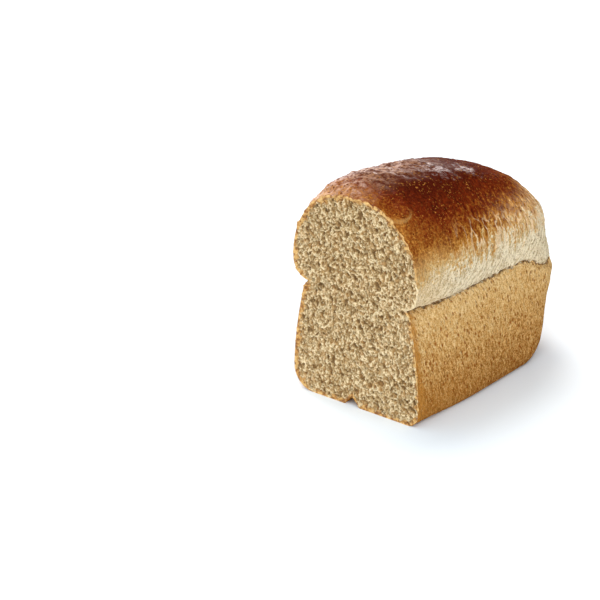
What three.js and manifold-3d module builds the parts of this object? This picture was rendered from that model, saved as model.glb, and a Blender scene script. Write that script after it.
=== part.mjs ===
// Tin loaf, cut open at one end. Millimetres, +Z up.
// The base rests on z = 0, the flat cut face is the -Y end and the rounded end is the +Y end.
// The crust is one profile (base, tin wall, break line, shred, dome) carried around the loaf's plan.

import * as THREE from 'three';
import { mergeVertices } from 'three/addons/utils/BufferGeometryUtils.js';
import Module from 'manifold-3d';

// ---- Driving dimensions (mm, degrees) ----
const LOAF_LENGTH = 178;
const HALF_WIDTH_AT_CUT = 52;
const FLANK_BULGE = 4;
const FLANK_BULGE_REACH = 70;
const PLAN_CORNER_RADIUS = 42;
const END_CAP_LENGTH = 64;
const END_TURN_START = 8;
const END_TURN_FINISH = 60;
const SIDE_BLEND_HALF_WIDTH = 20;

const CREST_AT_CUT = 150;
const CREST_RISE = 5;
const CREST_RISE_REACH = 36;
const CREST_DROP = 37;
const CREST_DROP_START = 30;
const CREST_DROP_POWER = 1.6;
const DOME_END_INSET = 2;

const BREAK_HEIGHT_RIGHT = 82.5;
const BREAK_HEIGHT_LEFT = 81.5;
const BREAK_HEIGHT_END = 66;
const BREAK_DROP = 12;
const BREAK_DROP_START_RIGHT = 112;
const BREAK_DROP_START_LEFT = 120;
const BREAK_DROP_FINISH = 150;
const BREAK_DIP_RIGHT = 1.5;
const BREAK_DIP_REACH = 20;
const LIP_DEPTH = 6;
const LIP_CURL_POWER = 1.6;
const WALL_BOW_POWER = 1.8;

// How far the tin wall is pinched in at the break line: it eases out from the cut, then again to the end.
const PINCH_START = -6;
const PINCH_REACH = 34;
const LATE_EASE_START = 60;
const LATE_EASE_FINISH = 115;
const LATE_EASE_GAIN = 0.05;
const BREAK_SHARE_AT_CUT = 0.745;
const BREAK_SHARE_GAIN = 0.13;
const BREAK_SHARE_AT_END = 0.975;
const LIP_SHARE_AT_CUT = 0.845;
const LIP_SHARE_GAIN = 0.075;
const LIP_SHARE_AT_END = 0.995;

// Share of the way from the tin's plan to the dome's rounder plan that is covered at the break line.
const DOME_MIX_AT_BREAK = 0.15;

const GROOVE_CENTRE_X = -3;
const GROOVE_WIDTH = 11;
const GROOVE_HEIGHT = 7;
const GROOVE_LENGTH = 26;
const GROOVE_RIDGE_RIGHT = 0.2;
const GROOVE_RIDGE_LEFT = 0.4;
const CUTTER_BELOW_BASE = 2;
const CUTTER_BEFORE_CUT = 1;

// ---- Mesh density ----
const FLANK_STEPS = 22;
const CORNER_STEPS = 12;
const END_STEPS = 8;
const BASE_STEPS = 4;
const FOOT_STEPS = 6;
const WALL_STEPS = 10;
const LIP_STEPS = 4;
const SHRED_STEPS = 7;
const DOME_STEPS = 20;

const MERGE_DISTANCE = 1e-3;
const CRUST_COLOUR = 0xb07a3e;
const CRUST_ROUGHNESS = 0.7;

const RIGHT_ANGLE = Math.PI / 2;
const CAP_CENTRE_Y = LOAF_LENGTH - END_CAP_LENGTH;

// Each row gives one shape value as [right flank, left flank, rounded end].
// Shares are fractions of the plan half width; heights are millimetres.
const FLAT_SHARE_AT_CUT = [0.846, 0.692, 0.44];
const FLAT_SHARE_GAIN = [0.05, 0.14, 0];
const FLAT_GAIN_REACH = 45;
const FOOT_SHARE = [1, 1, 0.88];
const FOOT_HEIGHT = [12, 16, 46];
const BULGE_SHARE = [0.952, 1, 0.975];
const BULGE_GAIN_AT_CUT = [0, 0.019, 0];
const BULGE_GAIN_REACH = 40;
const BULGE_HEIGHT = [97, 96, 88];
const DOME_FULLNESS = [2.1, 2.25, 2.5];
const DOME_FULLNESS_GAIN = [0.05, 0.22, 0];
const FULLNESS_GAIN_REACH = 32;

/** Eased step from 0 to 1 as value runs from start to end. */
function ease(value, start, end) {
  return THREE.MathUtils.smoothstep(value, start, end);
}

/** Plan outline of the tin, from the cut along the right flank, around the end, back to the cut. */
function planOutline() {
  const points = [];
  const straight = LOAF_LENGTH - PLAN_CORNER_RADIUS;
  const halfWidth = HALF_WIDTH_AT_CUT + FLANK_BULGE;
  const halfEnd = halfWidth - PLAN_CORNER_RADIUS;
  const flankX = (y) => HALF_WIDTH_AT_CUT + FLANK_BULGE * ease(y, 0, FLANK_BULGE_REACH);
  for (let i = 0; i < FLANK_STEPS; i += 1) {
    const y = (straight * i) / FLANK_STEPS;
    points.push(new THREE.Vector2(flankX(y), y));
  }
  for (let i = 0; i < CORNER_STEPS; i += 1) {
    const turn = (RIGHT_ANGLE * i) / CORNER_STEPS;
    const x = halfEnd + PLAN_CORNER_RADIUS * Math.cos(turn);
    points.push(new THREE.Vector2(x, straight + PLAN_CORNER_RADIUS * Math.sin(turn)));
  }
  for (let i = 0; i < END_STEPS / 2; i += 1) {
    points.push(new THREE.Vector2(halfEnd * (1 - (2 * i) / END_STEPS), LOAF_LENGTH));
  }
  const mirrored = points.map((point) => new THREE.Vector2(-point.x, point.y)).reverse();
  return [...points, new THREE.Vector2(0, LOAF_LENGTH), ...mirrored];
}

/** Where a plan point stands: the spine point it is measured from and how far it is round the end. */
function stationAt(plan) {
  const spine = new THREE.Vector2(0, Math.min(plan.y, CAP_CENTRE_Y));
  const reach = plan.clone().sub(spine);
  const turn = Math.atan2(reach.y, Math.abs(reach.x));
  const endShare = ease(THREE.MathUtils.radToDeg(turn), END_TURN_START, END_TURN_FINISH);
  const rightShare = ease(plan.x, -SIDE_BLEND_HALF_WIDTH, SIDE_BLEND_HALF_WIDTH);
  return { plan, spine, reach, endShare, rightShare };
}

/** Value of a [right, left, end] row at a station. */
function blend(station, [right, left, end]) {
  const flank = THREE.MathUtils.lerp(left, right, station.rightShare);
  return THREE.MathUtils.lerp(flank, end, station.endShare);
}

/** How far the tin wall and the break line are pinched in along the loaf, strongest at the cut. */
function pinchShares(y) {
  const fromCut = ease(y, PINCH_START, PINCH_REACH);
  const late = LATE_EASE_GAIN * ease(y, LATE_EASE_START, LATE_EASE_FINISH);
  return {
    breakShare: BREAK_SHARE_AT_CUT + BREAK_SHARE_GAIN * fromCut + late,
    lipShare: LIP_SHARE_AT_CUT + LIP_SHARE_GAIN * fromCut + late,
  };
}

/** Height of the dome's crest along the loaf. */
function crestHeight(y) {
  const rise = CREST_RISE * Math.sin(RIGHT_ANGLE * Math.min(y / CREST_RISE_REACH, 1));
  const beyond = Math.max(y - CREST_DROP_START, 0) / (LOAF_LENGTH - CREST_DROP_START);
  return CREST_AT_CUT + rise - CREST_DROP * beyond ** CREST_DROP_POWER;
}

/** Share of the tin's reach that the dome's rounder plan keeps at a station. */
function domePlanShare(station) {
  if (station.plan.y <= CAP_CENTRE_Y) {
    return 1;
  }
  const direction = station.reach.clone().normalize();
  const across = direction.x / (HALF_WIDTH_AT_CUT + FLANK_BULGE);
  const along = direction.y / (END_CAP_LENGTH - DOME_END_INSET);
  return 1 / Math.hypot(across, along) / station.reach.length();
}

/** Profile at a station as rows of [share of reach, height, share of the dome's plan]. */
function profileAt(station, domeShare) {
  const { y } = station.plan;
  const rows = [];
  const pinch = pinchShares(y);
  const flatGain = blend(station, FLAT_SHARE_GAIN) * ease(y, 0, FLAT_GAIN_REACH);
  const flat = blend(station, FLAT_SHARE_AT_CUT) + flatGain;
  const foot = blend(station, FOOT_SHARE);
  const footHeight = blend(station, FOOT_HEIGHT);
  const dip = BREAK_DIP_RIGHT * ease(y, 0, BREAK_DIP_REACH);
  const dropRight = BREAK_DROP * ease(y, BREAK_DROP_START_RIGHT, BREAK_DROP_FINISH);
  const dropLeft = BREAK_DROP * ease(y, BREAK_DROP_START_LEFT, BREAK_DROP_FINISH);
  const breakRight = BREAK_HEIGHT_RIGHT - dip - dropRight;
  const breakLeft = BREAK_HEIGHT_LEFT - dropLeft;
  const breakHeight = blend(station, [breakRight, breakLeft, BREAK_HEIGHT_END]);
  const breakShare = blend(station, [pinch.breakShare, pinch.breakShare, BREAK_SHARE_AT_END]);
  const lipShare = blend(station, [pinch.lipShare, pinch.lipShare, LIP_SHARE_AT_END]);
  const lipHeight = breakHeight - LIP_DEPTH;
  const bulgeGain = blend(station, BULGE_GAIN_AT_CUT) * (1 - ease(y, 0, BULGE_GAIN_REACH));
  const bulge = blend(station, BULGE_SHARE) + bulgeGain;
  const bulgeHeight = blend(station, BULGE_HEIGHT);
  const fullnessGain = blend(station, DOME_FULLNESS_GAIN) * ease(y, 0, FULLNESS_GAIN_REACH);
  const fullness = 2 / (blend(station, DOME_FULLNESS) + fullnessGain);
  for (let i = 0; i < BASE_STEPS; i += 1) {
    rows.push([(flat * i) / BASE_STEPS, 0, 0]);
  }
  for (let i = 0; i < FOOT_STEPS; i += 1) {
    const turn = (RIGHT_ANGLE * i) / FOOT_STEPS;
    rows.push([flat + (foot - flat) * Math.sin(turn), footHeight * (1 - Math.cos(turn)), 0]);
  }
  for (let i = 0; i < WALL_STEPS; i += 1) {
    const t = i / WALL_STEPS;
    const lean = THREE.MathUtils.lerp(t ** WALL_BOW_POWER, Math.sin(RIGHT_ANGLE * t), station.endShare);
    rows.push([foot + (lipShare - foot) * lean, footHeight + (lipHeight - footHeight) * t, 0]);
  }
  for (let i = 0; i < LIP_STEPS; i += 1) {
    const t = i / LIP_STEPS;
    const share = lipShare + (breakShare - lipShare) * t ** LIP_CURL_POWER;
    rows.push([share, lipHeight + LIP_DEPTH * t, DOME_MIX_AT_BREAK * t]);
  }
  for (let i = 0; i < SHRED_STEPS; i += 1) {
    const turn = (RIGHT_ANGLE * i) / SHRED_STEPS;
    const rise = (bulgeHeight - breakHeight) * (1 - Math.cos(turn));
    const share = breakShare + (bulge - breakShare) * Math.sin(turn);
    rows.push([share, breakHeight + rise, THREE.MathUtils.lerp(DOME_MIX_AT_BREAK, 1, i / SHRED_STEPS)]);
  }
  for (let i = 0; i <= DOME_STEPS; i += 1) {
    const turn = (RIGHT_ANGLE * i) / DOME_STEPS;
    const share = i === DOME_STEPS ? 0 : bulge * Math.cos(turn) ** fullness;
    const crest = crestHeight(station.spine.y + station.reach.y * share * domeShare);
    rows.push([share, bulgeHeight + (crest - bulgeHeight) * Math.sin(turn) ** fullness, 1]);
  }
  return rows;
}

/** Closed loaf: crust rows joined station to station, and a flat fan over the cut. */
function loafGeometry() {
  const stations = planOutline().map(stationAt);
  const positions = [];
  stations.forEach((station) => {
    const domeShare = domePlanShare(station);
    profileAt(station, domeShare).forEach(([share, height, domeMix]) => {
      const scale = share * THREE.MathUtils.lerp(1, domeShare, domeMix);
      const x = station.spine.x + station.reach.x * scale;
      const y = station.spine.y + station.reach.y * scale;
      positions.push(x, y - LOAF_LENGTH / 2, height);
    });
  });
  const rowCount = positions.length / 3 / stations.length;
  const indices = [];
  for (let station = 0; station + 1 < stations.length; station += 1) {
    for (let row = 0; row + 1 < rowCount; row += 1) {
      const here = station * rowCount + row;
      const next = here + rowCount;
      indices.push(here, next, next + 1, here, next + 1, here + 1);
    }
  }
  const centre = positions.length / 3;
  const lastStation = (stations.length - 1) * rowCount;
  positions.push(0, -LOAF_LENGTH / 2, BREAK_HEIGHT_LEFT);
  for (let row = 0; row + 1 < rowCount; row += 1) {
    indices.push(centre, row, row + 1);
    indices.push(centre, lastStation + row + 1, lastStation + row);
  }
  return closedGeometry(positions, indices);
}

/** Geometry with shared vertices merged and collapsed triangles dropped. */
function closedGeometry(positions, indices) {
  const geometry = new THREE.BufferGeometry();
  geometry.setAttribute('position', new THREE.Float32BufferAttribute(positions, 3));
  geometry.setIndex(indices);
  const merged = mergeVertices(geometry, MERGE_DISTANCE);
  const corners = merged.getIndex().array;
  const kept = [];
  for (let i = 0; i < corners.length; i += 3) {
    const [a, b, c] = [corners[i], corners[i + 1], corners[i + 2]];
    if (a !== b && b !== c && c !== a) {
      kept.push(a, b, c);
    }
  }
  merged.setIndex(kept);
  return merged;
}

/** Four-sided wedge that tapers along the loaf: the torn groove in the base at the cut. */
function grooveGeometry() {
  const below = -CUTTER_BELOW_BASE;
  const mouth = -LOAF_LENGTH / 2 - CUTTER_BEFORE_CUT;
  const tip = mouth + GROOVE_LENGTH;
  const half = GROOVE_WIDTH / 2;
  const positions = [
    GROOVE_CENTRE_X - half, mouth, below,
    GROOVE_CENTRE_X + half, mouth, below,
    GROOVE_CENTRE_X + GROOVE_RIDGE_RIGHT * half, mouth, GROOVE_HEIGHT,
    GROOVE_CENTRE_X - GROOVE_RIDGE_LEFT * half, mouth, GROOVE_HEIGHT,
    GROOVE_CENTRE_X, tip, below,
  ];
  const indices = [0, 1, 2, 0, 2, 3, 1, 4, 2, 2, 4, 3, 3, 4, 0, 0, 4, 1];
  return closedGeometry(positions, indices);
}

/** three.js geometry as a manifold solid. */
function toSolid(wasm, geometry) {
  const mesh = new wasm.Mesh({
    numProp: 3,
    vertProperties: new Float32Array(geometry.getAttribute('position').array),
    triVerts: new Uint32Array(geometry.getIndex().array),
  });
  return new wasm.Manifold(mesh);
}

/** Manifold solid as a three.js geometry. */
function toGeometry(solid) {
  const mesh = solid.getMesh();
  const geometry = new THREE.BufferGeometry();
  geometry.setAttribute('position', new THREE.Float32BufferAttribute(mesh.vertProperties, 3));
  geometry.setIndex(Array.from(mesh.triVerts));
  geometry.computeVertexNormals();
  return geometry;
}

const wasm = await Module();
wasm.setup();

const crustMaterial = new THREE.MeshStandardMaterial({
  color: CRUST_COLOUR,
  roughness: CRUST_ROUGHNESS,
  metalness: 0,
});
const groovedLoaf = toSolid(wasm, loafGeometry()).subtract(toSolid(wasm, grooveGeometry()));
const loaf = new THREE.Mesh(toGeometry(groovedLoaf), crustMaterial);
loaf.name = 'loaf';

const part = new THREE.Group();
part.add(loaf);

export default part;
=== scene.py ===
"""A cut wholemeal tin loaf: glossy chestnut dome, torn pale shred band, matt tin sides and open crumb.

The loaf is one closed skin. Its crust is a profile carried around the loaf's plan, from the cut along one
flank, around the far end and back to the cut. The cut face is a patch stretched between four parts of
that profile's rim. Relief such as blisters, torn fibres, pits and pores then moves the skin's points.
Sizes are in millimetres until the skin is handed to Blender, which holds metres.
"""

import itertools
import logging
import math
from dataclasses import dataclass, field
from enum import Enum, auto
from typing import Any

import bpy
import numpy as np
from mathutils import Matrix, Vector

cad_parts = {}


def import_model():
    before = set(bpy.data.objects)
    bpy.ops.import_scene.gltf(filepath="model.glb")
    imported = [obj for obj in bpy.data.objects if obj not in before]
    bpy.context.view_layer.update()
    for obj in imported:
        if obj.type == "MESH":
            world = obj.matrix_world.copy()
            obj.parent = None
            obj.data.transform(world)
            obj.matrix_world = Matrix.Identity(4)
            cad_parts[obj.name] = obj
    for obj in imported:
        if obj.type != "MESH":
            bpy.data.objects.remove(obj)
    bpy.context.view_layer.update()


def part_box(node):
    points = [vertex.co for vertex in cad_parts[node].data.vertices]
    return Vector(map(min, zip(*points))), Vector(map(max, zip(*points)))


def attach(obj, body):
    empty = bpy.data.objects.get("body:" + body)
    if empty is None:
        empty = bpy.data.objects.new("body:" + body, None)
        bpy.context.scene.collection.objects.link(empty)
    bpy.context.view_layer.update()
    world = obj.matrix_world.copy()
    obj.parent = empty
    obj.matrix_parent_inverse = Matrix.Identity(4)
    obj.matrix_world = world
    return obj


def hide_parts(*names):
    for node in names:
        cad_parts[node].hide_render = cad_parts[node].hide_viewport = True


Array = np.ndarray
Colour = tuple[float, float, float]
Place = tuple[float, float, float]
Span = tuple[float, float]
Stops = tuple[tuple[float, Colour], ...]

MM = 0.001
RIGHT_ANGLE = math.pi / 2
EVEN = (1.0, 1.0, 1.0)
FLAT = (1.0, 0.0, 1.0)
TINY = 1e-12
LOG = logging.getLogger("tin_loaf")

# Large odd numbers and shifts that stir a lattice cell's coordinates into a number that looks random.
LOW_BITS = np.uint64(0xFFFFFFFF)
CELL_ODDS = np.array([0x9E3779B1, 0x85EBCA77, 0xC2B2AE3D], dtype=np.uint64)
SALT_ODD = 0x27D4EB2F
STIRS = ((15, 0x2C1B3C6D), (12, 0x297A2D39), (15, 0x1B56C4E9))

# Steps that keep the random numbers of each noise, octave and spot apart, and the waves' overall gain.
WAVE_SALT = 97
OCTAVE_SALT = 7
SPOT_SALT = 31
SIZE_SALT = 5
CHANCE_SALT = 6
WAVE_GAIN = 1.5

# What a shader noise swings about.
NOISE_MIDDLE = 0.5

# Turns that lean a pattern: back from the cut, a little towards it, and to one side.
LEAN_BACK = np.array([[1.0, 0.0, 0.0], [0.0, 0.82, 0.57], [0.0, -0.57, 0.82]])
LEAN_FORWARD = np.array([[1.0, 0.0, 0.0], [0.0, 0.95, -0.3], [0.0, 0.3, 0.95]])
LEAN_SIDEWAYS = np.array([[0.96, 0.0, -0.28], [0.0, 1.0, 0.0], [0.28, 0.0, 0.96]])


# ---------------------------------------------------------------- numbers and noise


def ease(value: Array, span: Span) -> Array:
    """Smooth step: 3t^2 - 2t^3, where t is how far value lies along span, held to 0..1.

    Args:
        value: Numbers to step.
        span: Where the result is 0 and where it is 1.

    Returns:
        Array of 0..1 numbers.
    """
    t = np.clip((value - span[0]) / (span[1] - span[0]), 0.0, 1.0)
    return t * t * (3.0 - 2.0 * t)


def mix(low: Array, high: Array, share: Array) -> Array:
    """Straight blend from low to high by share."""
    return low + (high - low) * share


def lattice(cell: Array, salt: int) -> Array:
    """One repeatable 0..1 number for each whole-numbered lattice cell.

    Each coordinate is multiplied by a large odd number, the products are summed with the salt, and the bits
    are stirred by shifts and multiplications.

    Args:
        cell: Lattice coordinates, shape (..., 3).
        salt: Picks one of many unrelated sets of numbers.

    Returns:
        Array of numbers in 0..1, shape (...).
    """
    whole = cell.astype(np.int64).astype(np.uint64)
    stirred = (whole * CELL_ODDS).sum(axis=-1) + np.uint64(salt * SALT_ODD)
    stirred &= LOW_BITS
    for shift, odd in STIRS:
        stirred ^= stirred >> np.uint64(shift)
        stirred = (stirred * np.uint64(odd)) & LOW_BITS
    return stirred.astype(np.float64) / float(LOW_BITS)


@dataclass(frozen=True)
class Waves:
    """Gradient noise: soft waves about as long as wavelength, in -1..1, with finer octaves added."""

    wavelength: float
    salt: int
    octaves: int = 1
    stretch: Place = EVEN

    def at(self, points: Array) -> Array:
        """Height of the waves at points.

        Each lattice corner has a random slope. The height is the slopes' dot products with the offsets from
        the eight corners, blended by 6t^5 - 15t^4 + 10t^3. Each octave halves the wavelength and height.

        Args:
            points: Places in millimetres, shape (..., 3).

        Returns:
            Heights, shape (...).
        """
        total = np.zeros(points.shape[:-1])
        for octave in range(self.octaves):
            place = points / (self.wavelength * np.array(self.stretch)) * 2.0**octave
            base = np.floor(place)
            offset = place - base
            curve = offset**3 * (offset * (offset * 6.0 - 15.0) + 10.0)
            for corner in itertools.product((0.0, 1.0), repeat=3):
                step = np.array(corner)
                weight = np.prod(np.where(step > 0, curve, 1.0 - curve), axis=-1)
                salts = (self.salt * WAVE_SALT + octave * OCTAVE_SALT + axis for axis in range(3))
                slope = np.stack([lattice(base + step, salt) for salt in salts], axis=-1) * 2.0 - 1.0
                total += weight * ((offset - step) * slope).sum(axis=-1) * 0.5**octave
        return total * WAVE_GAIN


@dataclass(frozen=True)
class Spots:
    """Round spots scattered one to a lattice cell: pits, pores, blisters or specks."""

    cell: float
    radius: Span
    share: float
    salt: int
    full: float
    stretch: Place = EVEN
    flat: bool = False

    def at(self, points: Array) -> Array:
        """How deep a point lies in the nearest spot: 0 at or past its edge, and 1 well inside it.

        Each cell holds one spot at a random place, with a random radius, if its random number is under
        share. A spot's depth is (1 - d/r), where d is the distance to its middle. The highest depth counts,
        and is eased so that it reaches 1 at full.

        Args:
            points: Places in millimetres, shape (n, 3). With flat set, the second coordinate is ignored.

        Returns:
            Depths in 0..1, shape (n,).
        """
        place = points / (self.cell * np.array(self.stretch))
        if self.flat:
            place = place * np.array(FLAT)
        base = np.floor(place)
        deepest = np.zeros(points.shape[:-1])
        salt = self.salt * SPOT_SALT
        steps = (-1.0, 0.0, 1.0)
        for step in itertools.product(steps, (0.0,) if self.flat else steps, steps):
            cell = base + np.array(step)
            middle = np.stack([lattice(cell, salt + axis) for axis in range(3)], axis=-1)
            if self.flat:
                middle = middle * np.array(FLAT)
            size = mix(self.radius[0], self.radius[1], lattice(cell, salt + SIZE_SALT) ** 2) / self.cell
            gap = np.linalg.norm(cell + middle - place, axis=-1)
            present = lattice(cell, salt + CHANCE_SALT) < self.share
            deepest = np.maximum(deepest, np.where(present, 1.0 - gap / size, 0.0))
        return ease(deepest, (0.0, self.full))


# ---------------------------------------------------------------- the loaf's shape


class Zone(Enum):
    """Stretches of the crust's profile, from the middle of the base up to the crest."""

    BASE = auto()
    FOOT = auto()
    WALL = auto()
    LIP = auto()
    SHRED = auto()
    DOME = auto()


ROWS = {Zone.BASE: 16, Zone.FOOT: 10, Zone.WALL: 30, Zone.LIP: 6, Zone.SHRED: 16, Zone.DOME: 48}


@dataclass(frozen=True)
class Trio:
    """One size at the right flank, the left flank and the rounded far end."""

    right: Any
    left: Any
    end: Any


@dataclass(frozen=True)
class Stations:
    """Places along the loaf's plan: outline points, the spine points they are measured from, and shares.

    Points have shape (stations, 2), as (x, distance from the cut). Shares have shape (stations, 1).
    """

    plan: Array
    spine: Array
    reach: Array
    end_share: Array
    right_share: Array

    def blend(self, size: Trio) -> Array:
        """The size at each station, shape (stations, 1)."""
        flank = mix(size.left, size.right, self.right_share)
        return mix(flank, size.end, self.end_share)

    def grown(self, size: Trio, gain: Trio, growth: Array) -> Array:
        """The size at each station, plus growth's share of the gain there."""
        return self.blend(size) + self.blend(gain) * growth


@dataclass
class Skin:
    """A closed skin under construction: points, faces, face finishes and named values per point."""

    points: Array
    quads: Array
    triangles: Array
    quad_is_crumb: Array
    triangle_is_crumb: Array
    values: dict[str, Array] = field(default_factory=dict)

    def normals(self) -> Array:
        """Unit normal at each point: the sum of the cross products of the faces that meet there.

        Returns:
            Normals, shape (points, 3).
        """
        total = np.zeros_like(self.points)
        for faces in (self.quads, self.triangles):
            corners = self.points[faces]
            across = np.cross(corners[:, 2] - corners[:, 0], corners[:, -1] - corners[:, 1])
            if faces.shape[1] == 3:
                across = np.cross(corners[:, 1] - corners[:, 0], corners[:, 2] - corners[:, 0])
            for corner in range(faces.shape[1]):
                np.add.at(total, faces[:, corner], across)
        return total / np.maximum(np.linalg.norm(total, axis=1, keepdims=True), TINY)


@dataclass(frozen=True)
class LoafForm:
    """The smooth loaf, before relief.

    Sizes are millimetres, spans along the loaf count from the cut, and shares are fractions of the plan's
    reach from the spine. A pair of gains is for the flank away from the cut and for the flank by the end.
    """

    length: float = 178.0
    half_width_at_cut: float = 52.0
    flank_bulge: float = 4.0
    flank_bulge_span: Span = (0.0, 70.0)
    plan_corner_radius: float = 42.0
    end_cap_length: float = 64.0
    end_turn_degrees: Span = (8.0, 60.0)
    right_side: Span = (-20.0, 20.0)
    flank_steps: int = 100
    corner_steps: int = 40
    end_steps: int = 20

    flat_share: Trio = Trio(0.846, 0.692, 0.44)
    flat_gain: Trio = Trio(0.05, 0.14, 0.0)
    flat_gain_span: Span = (0.0, 45.0)
    foot_share: Trio = Trio(1.0, 1.0, 0.88)
    foot_height: Trio = Trio(12.0, 16.0, 46.0)
    wall_bow: float = 1.8
    lip_share: Trio = Trio(0.845, 0.845, 0.995)
    lip_gains: Span = (0.075, 0.05)
    lip_depth: float = 6.0
    lip_curl: float = 1.6
    break_share: Trio = Trio(0.745, 0.745, 0.975)
    break_gains: Span = (0.13, 0.05)
    away_from_cut: Span = (-6.0, 34.0)
    by_end: Span = (60.0, 115.0)
    break_height: Trio = Trio(82.5, 81.5, 66.0)
    break_sag: float = 1.5
    break_sag_span: Span = (0.0, 20.0)
    break_drop: float = 10.0
    break_drop_spans: Trio = Trio((112.0, 150.0), (120.0, 150.0), None)

    bulge_share: Trio = Trio(0.952, 1.0, 0.975)
    bulge_gain: Trio = Trio(0.0, 0.019, 0.0)
    bulge_gain_span: Span = (0.0, 40.0)
    bulge_height: Trio = Trio(97.0, 96.0, 88.0)
    fullness: Trio = Trio(2.1, 2.25, 2.5)
    fullness_gain: Trio = Trio(0.05, 0.22, 0.0)
    fullness_gain_span: Span = (0.0, 32.0)
    dome_end_inset: float = 2.0
    dome_share_at_break: float = 0.15
    crest_at_cut: float = 150.0
    crest_rise: float = 5.0
    crest_rise_reach: float = 36.0
    crest_drop: float = 37.0
    crest_drop_start: float = 30.0
    crest_drop_power: float = 1.6

    @property
    def cap_centre(self) -> float:
        """Distance from the cut to the point that the far end is rounded about."""
        return self.length - self.end_cap_length

    def plan_outline(self) -> Array:
        """Plan of the tin: an eased flank, a quarter circle and half the end, then the same mirrored.

        Returns:
            Outline points (x, distance from the cut), shape (stations, 2).
        """
        straight = self.length - self.plan_corner_radius
        half_end = self.half_width_at_cut + self.flank_bulge - self.plan_corner_radius
        along = np.linspace(0.0, straight, self.flank_steps, endpoint=False)
        flank_x = self.half_width_at_cut + self.flank_bulge * ease(along, self.flank_bulge_span)
        turn = np.linspace(0.0, RIGHT_ANGLE, self.corner_steps, endpoint=False)
        corner_x = half_end + self.plan_corner_radius * np.cos(turn)
        corner_y = straight + self.plan_corner_radius * np.sin(turn)
        end_x = np.linspace(half_end, 0.0, self.end_steps // 2 + 1)
        x = np.concatenate([flank_x, corner_x, end_x])
        y = np.concatenate([along, corner_y, np.full_like(end_x, self.length)])
        right = np.stack([x, y], axis=1)
        left = right[-2::-1] * np.array([-1.0, 1.0])
        return np.concatenate([right, left])

    def stations(self) -> Stations:
        """Stations along the plan.

        Flank points are measured straight across, and end points from the end cap's centre.

        Returns:
            The stations, from the cut's right edge round to its left edge.
        """
        plan = self.plan_outline()
        spine = np.stack([np.zeros(len(plan)), np.minimum(plan[:, 1], self.cap_centre)], axis=1)
        reach = plan - spine
        turn = np.degrees(np.arctan2(reach[:, 1:], np.abs(reach[:, :1])))
        end_share = ease(turn, self.end_turn_degrees)
        return Stations(plan, spine, reach, end_share, ease(plan[:, :1], self.right_side))

    def crest_height(self, along: Array) -> Array:
        """Crest's height: a quarter sine rise from the cut, less a power-law fall towards the far end.

        Args:
            along: Distances from the cut.

        Returns:
            Heights, same shape.
        """
        rise = np.sin(RIGHT_ANGLE * np.clip(along / self.crest_rise_reach, 0.0, 1.0))
        beyond = np.maximum(along - self.crest_drop_start, 0.0) / (self.length - self.crest_drop_start)
        return self.crest_at_cut + self.crest_rise * rise - self.crest_drop * beyond**self.crest_drop_power

    def dome_plan_share(self, stations: Stations) -> Array:
        """How much of the tin's reach the dome keeps: all of it on the flanks, and an ellipse round the end.

        Args:
            stations: Where to work it out.

        Returns:
            Shares, shape (stations, 1).
        """
        length = np.linalg.norm(stations.reach, axis=1, keepdims=True)
        across = stations.reach[:, :1] / length / (self.half_width_at_cut + self.flank_bulge)
        along = stations.reach[:, 1:] / length / (self.end_cap_length - self.dome_end_inset)
        share = 1.0 / (np.hypot(across, along) * length)
        return np.where(stations.plan[:, 1:] > self.cap_centre, share, 1.0)

    def waist(self, stations: Stations) -> list[Array]:
        """The break line, where the dome tore free of the tin: it sags from the cut and drops by the far end.

        Args:
            stations: Where to work it out.

        Returns:
            Its height and reach, and the reach of the lip below it, each of shape (stations, 1).
        """
        along = stations.plan[:, 1:]
        right = self.break_height.right - self.break_sag * ease(along, self.break_sag_span)
        right = right - self.break_drop * ease(along, self.break_drop_spans.right)
        left = self.break_height.left - self.break_drop * ease(along, self.break_drop_spans.left)
        waist = [stations.blend(Trio(right, left, self.break_height.end))]
        for share, gains in ((self.break_share, self.break_gains), (self.lip_share, self.lip_gains)):
            flank = share.right + gains[0] * ease(along, self.away_from_cut)
            flank = flank + gains[1] * ease(along, self.by_end)
            waist.append(stations.blend(Trio(flank, flank, share.end)))
        return waist

    def crust_grid(self) -> tuple[Array, Array]:
        """Crust points: every station's profile, row by row from the base's middle to the crest.

        The profile is a flat base, a quarter-ellipse foot, a bowed wall, a lip that curls in to the break
        line, a quarter-ellipse underside of torn shred, and a superellipse dome that follows crest_height.

        Returns:
            Points, shape (stations, rows, 3), and rise, shape (stations, rows), which runs from -1 at the
            base to 0 at the break line and 1 at the crest.
        """
        stations = self.stations()
        along = stations.plan[:, 1:]
        flat = stations.grown(self.flat_share, self.flat_gain, ease(along, self.flat_gain_span))
        foot = stations.blend(self.foot_share)
        foot_height = stations.blend(self.foot_height)
        break_height, break_share, lip_share = self.waist(stations)
        lip_height = break_height - self.lip_depth
        bulge = stations.grown(self.bulge_share, self.bulge_gain, 1.0 - ease(along, self.bulge_gain_span))
        bulge_height = stations.blend(self.bulge_height)
        fullness = stations.grown(self.fullness, self.fullness_gain, ease(along, self.fullness_gain_span))
        power = 2.0 / fullness
        dome_share = self.dome_plan_share(stations)
        t = {zone: np.linspace(0.0, 1.0, ROWS[zone], endpoint=zone is Zone.DOME)[None, :] for zone in Zone}
        sine = {zone: np.sin(RIGHT_ANGLE * t[zone]) for zone in Zone}
        cosine = {zone: np.clip(np.cos(RIGHT_ANGLE * t[zone]), 0.0, 1.0) for zone in Zone}
        cosine[Zone.DOME][0, -1] = 0.0
        lean = mix(t[Zone.WALL] ** self.wall_bow, sine[Zone.WALL], stations.end_share)
        dome_out = bulge * cosine[Zone.DOME] ** power
        crest = self.crest_height(stations.spine[:, 1:] + stations.reach[:, 1:] * dome_out * dome_share)
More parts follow.
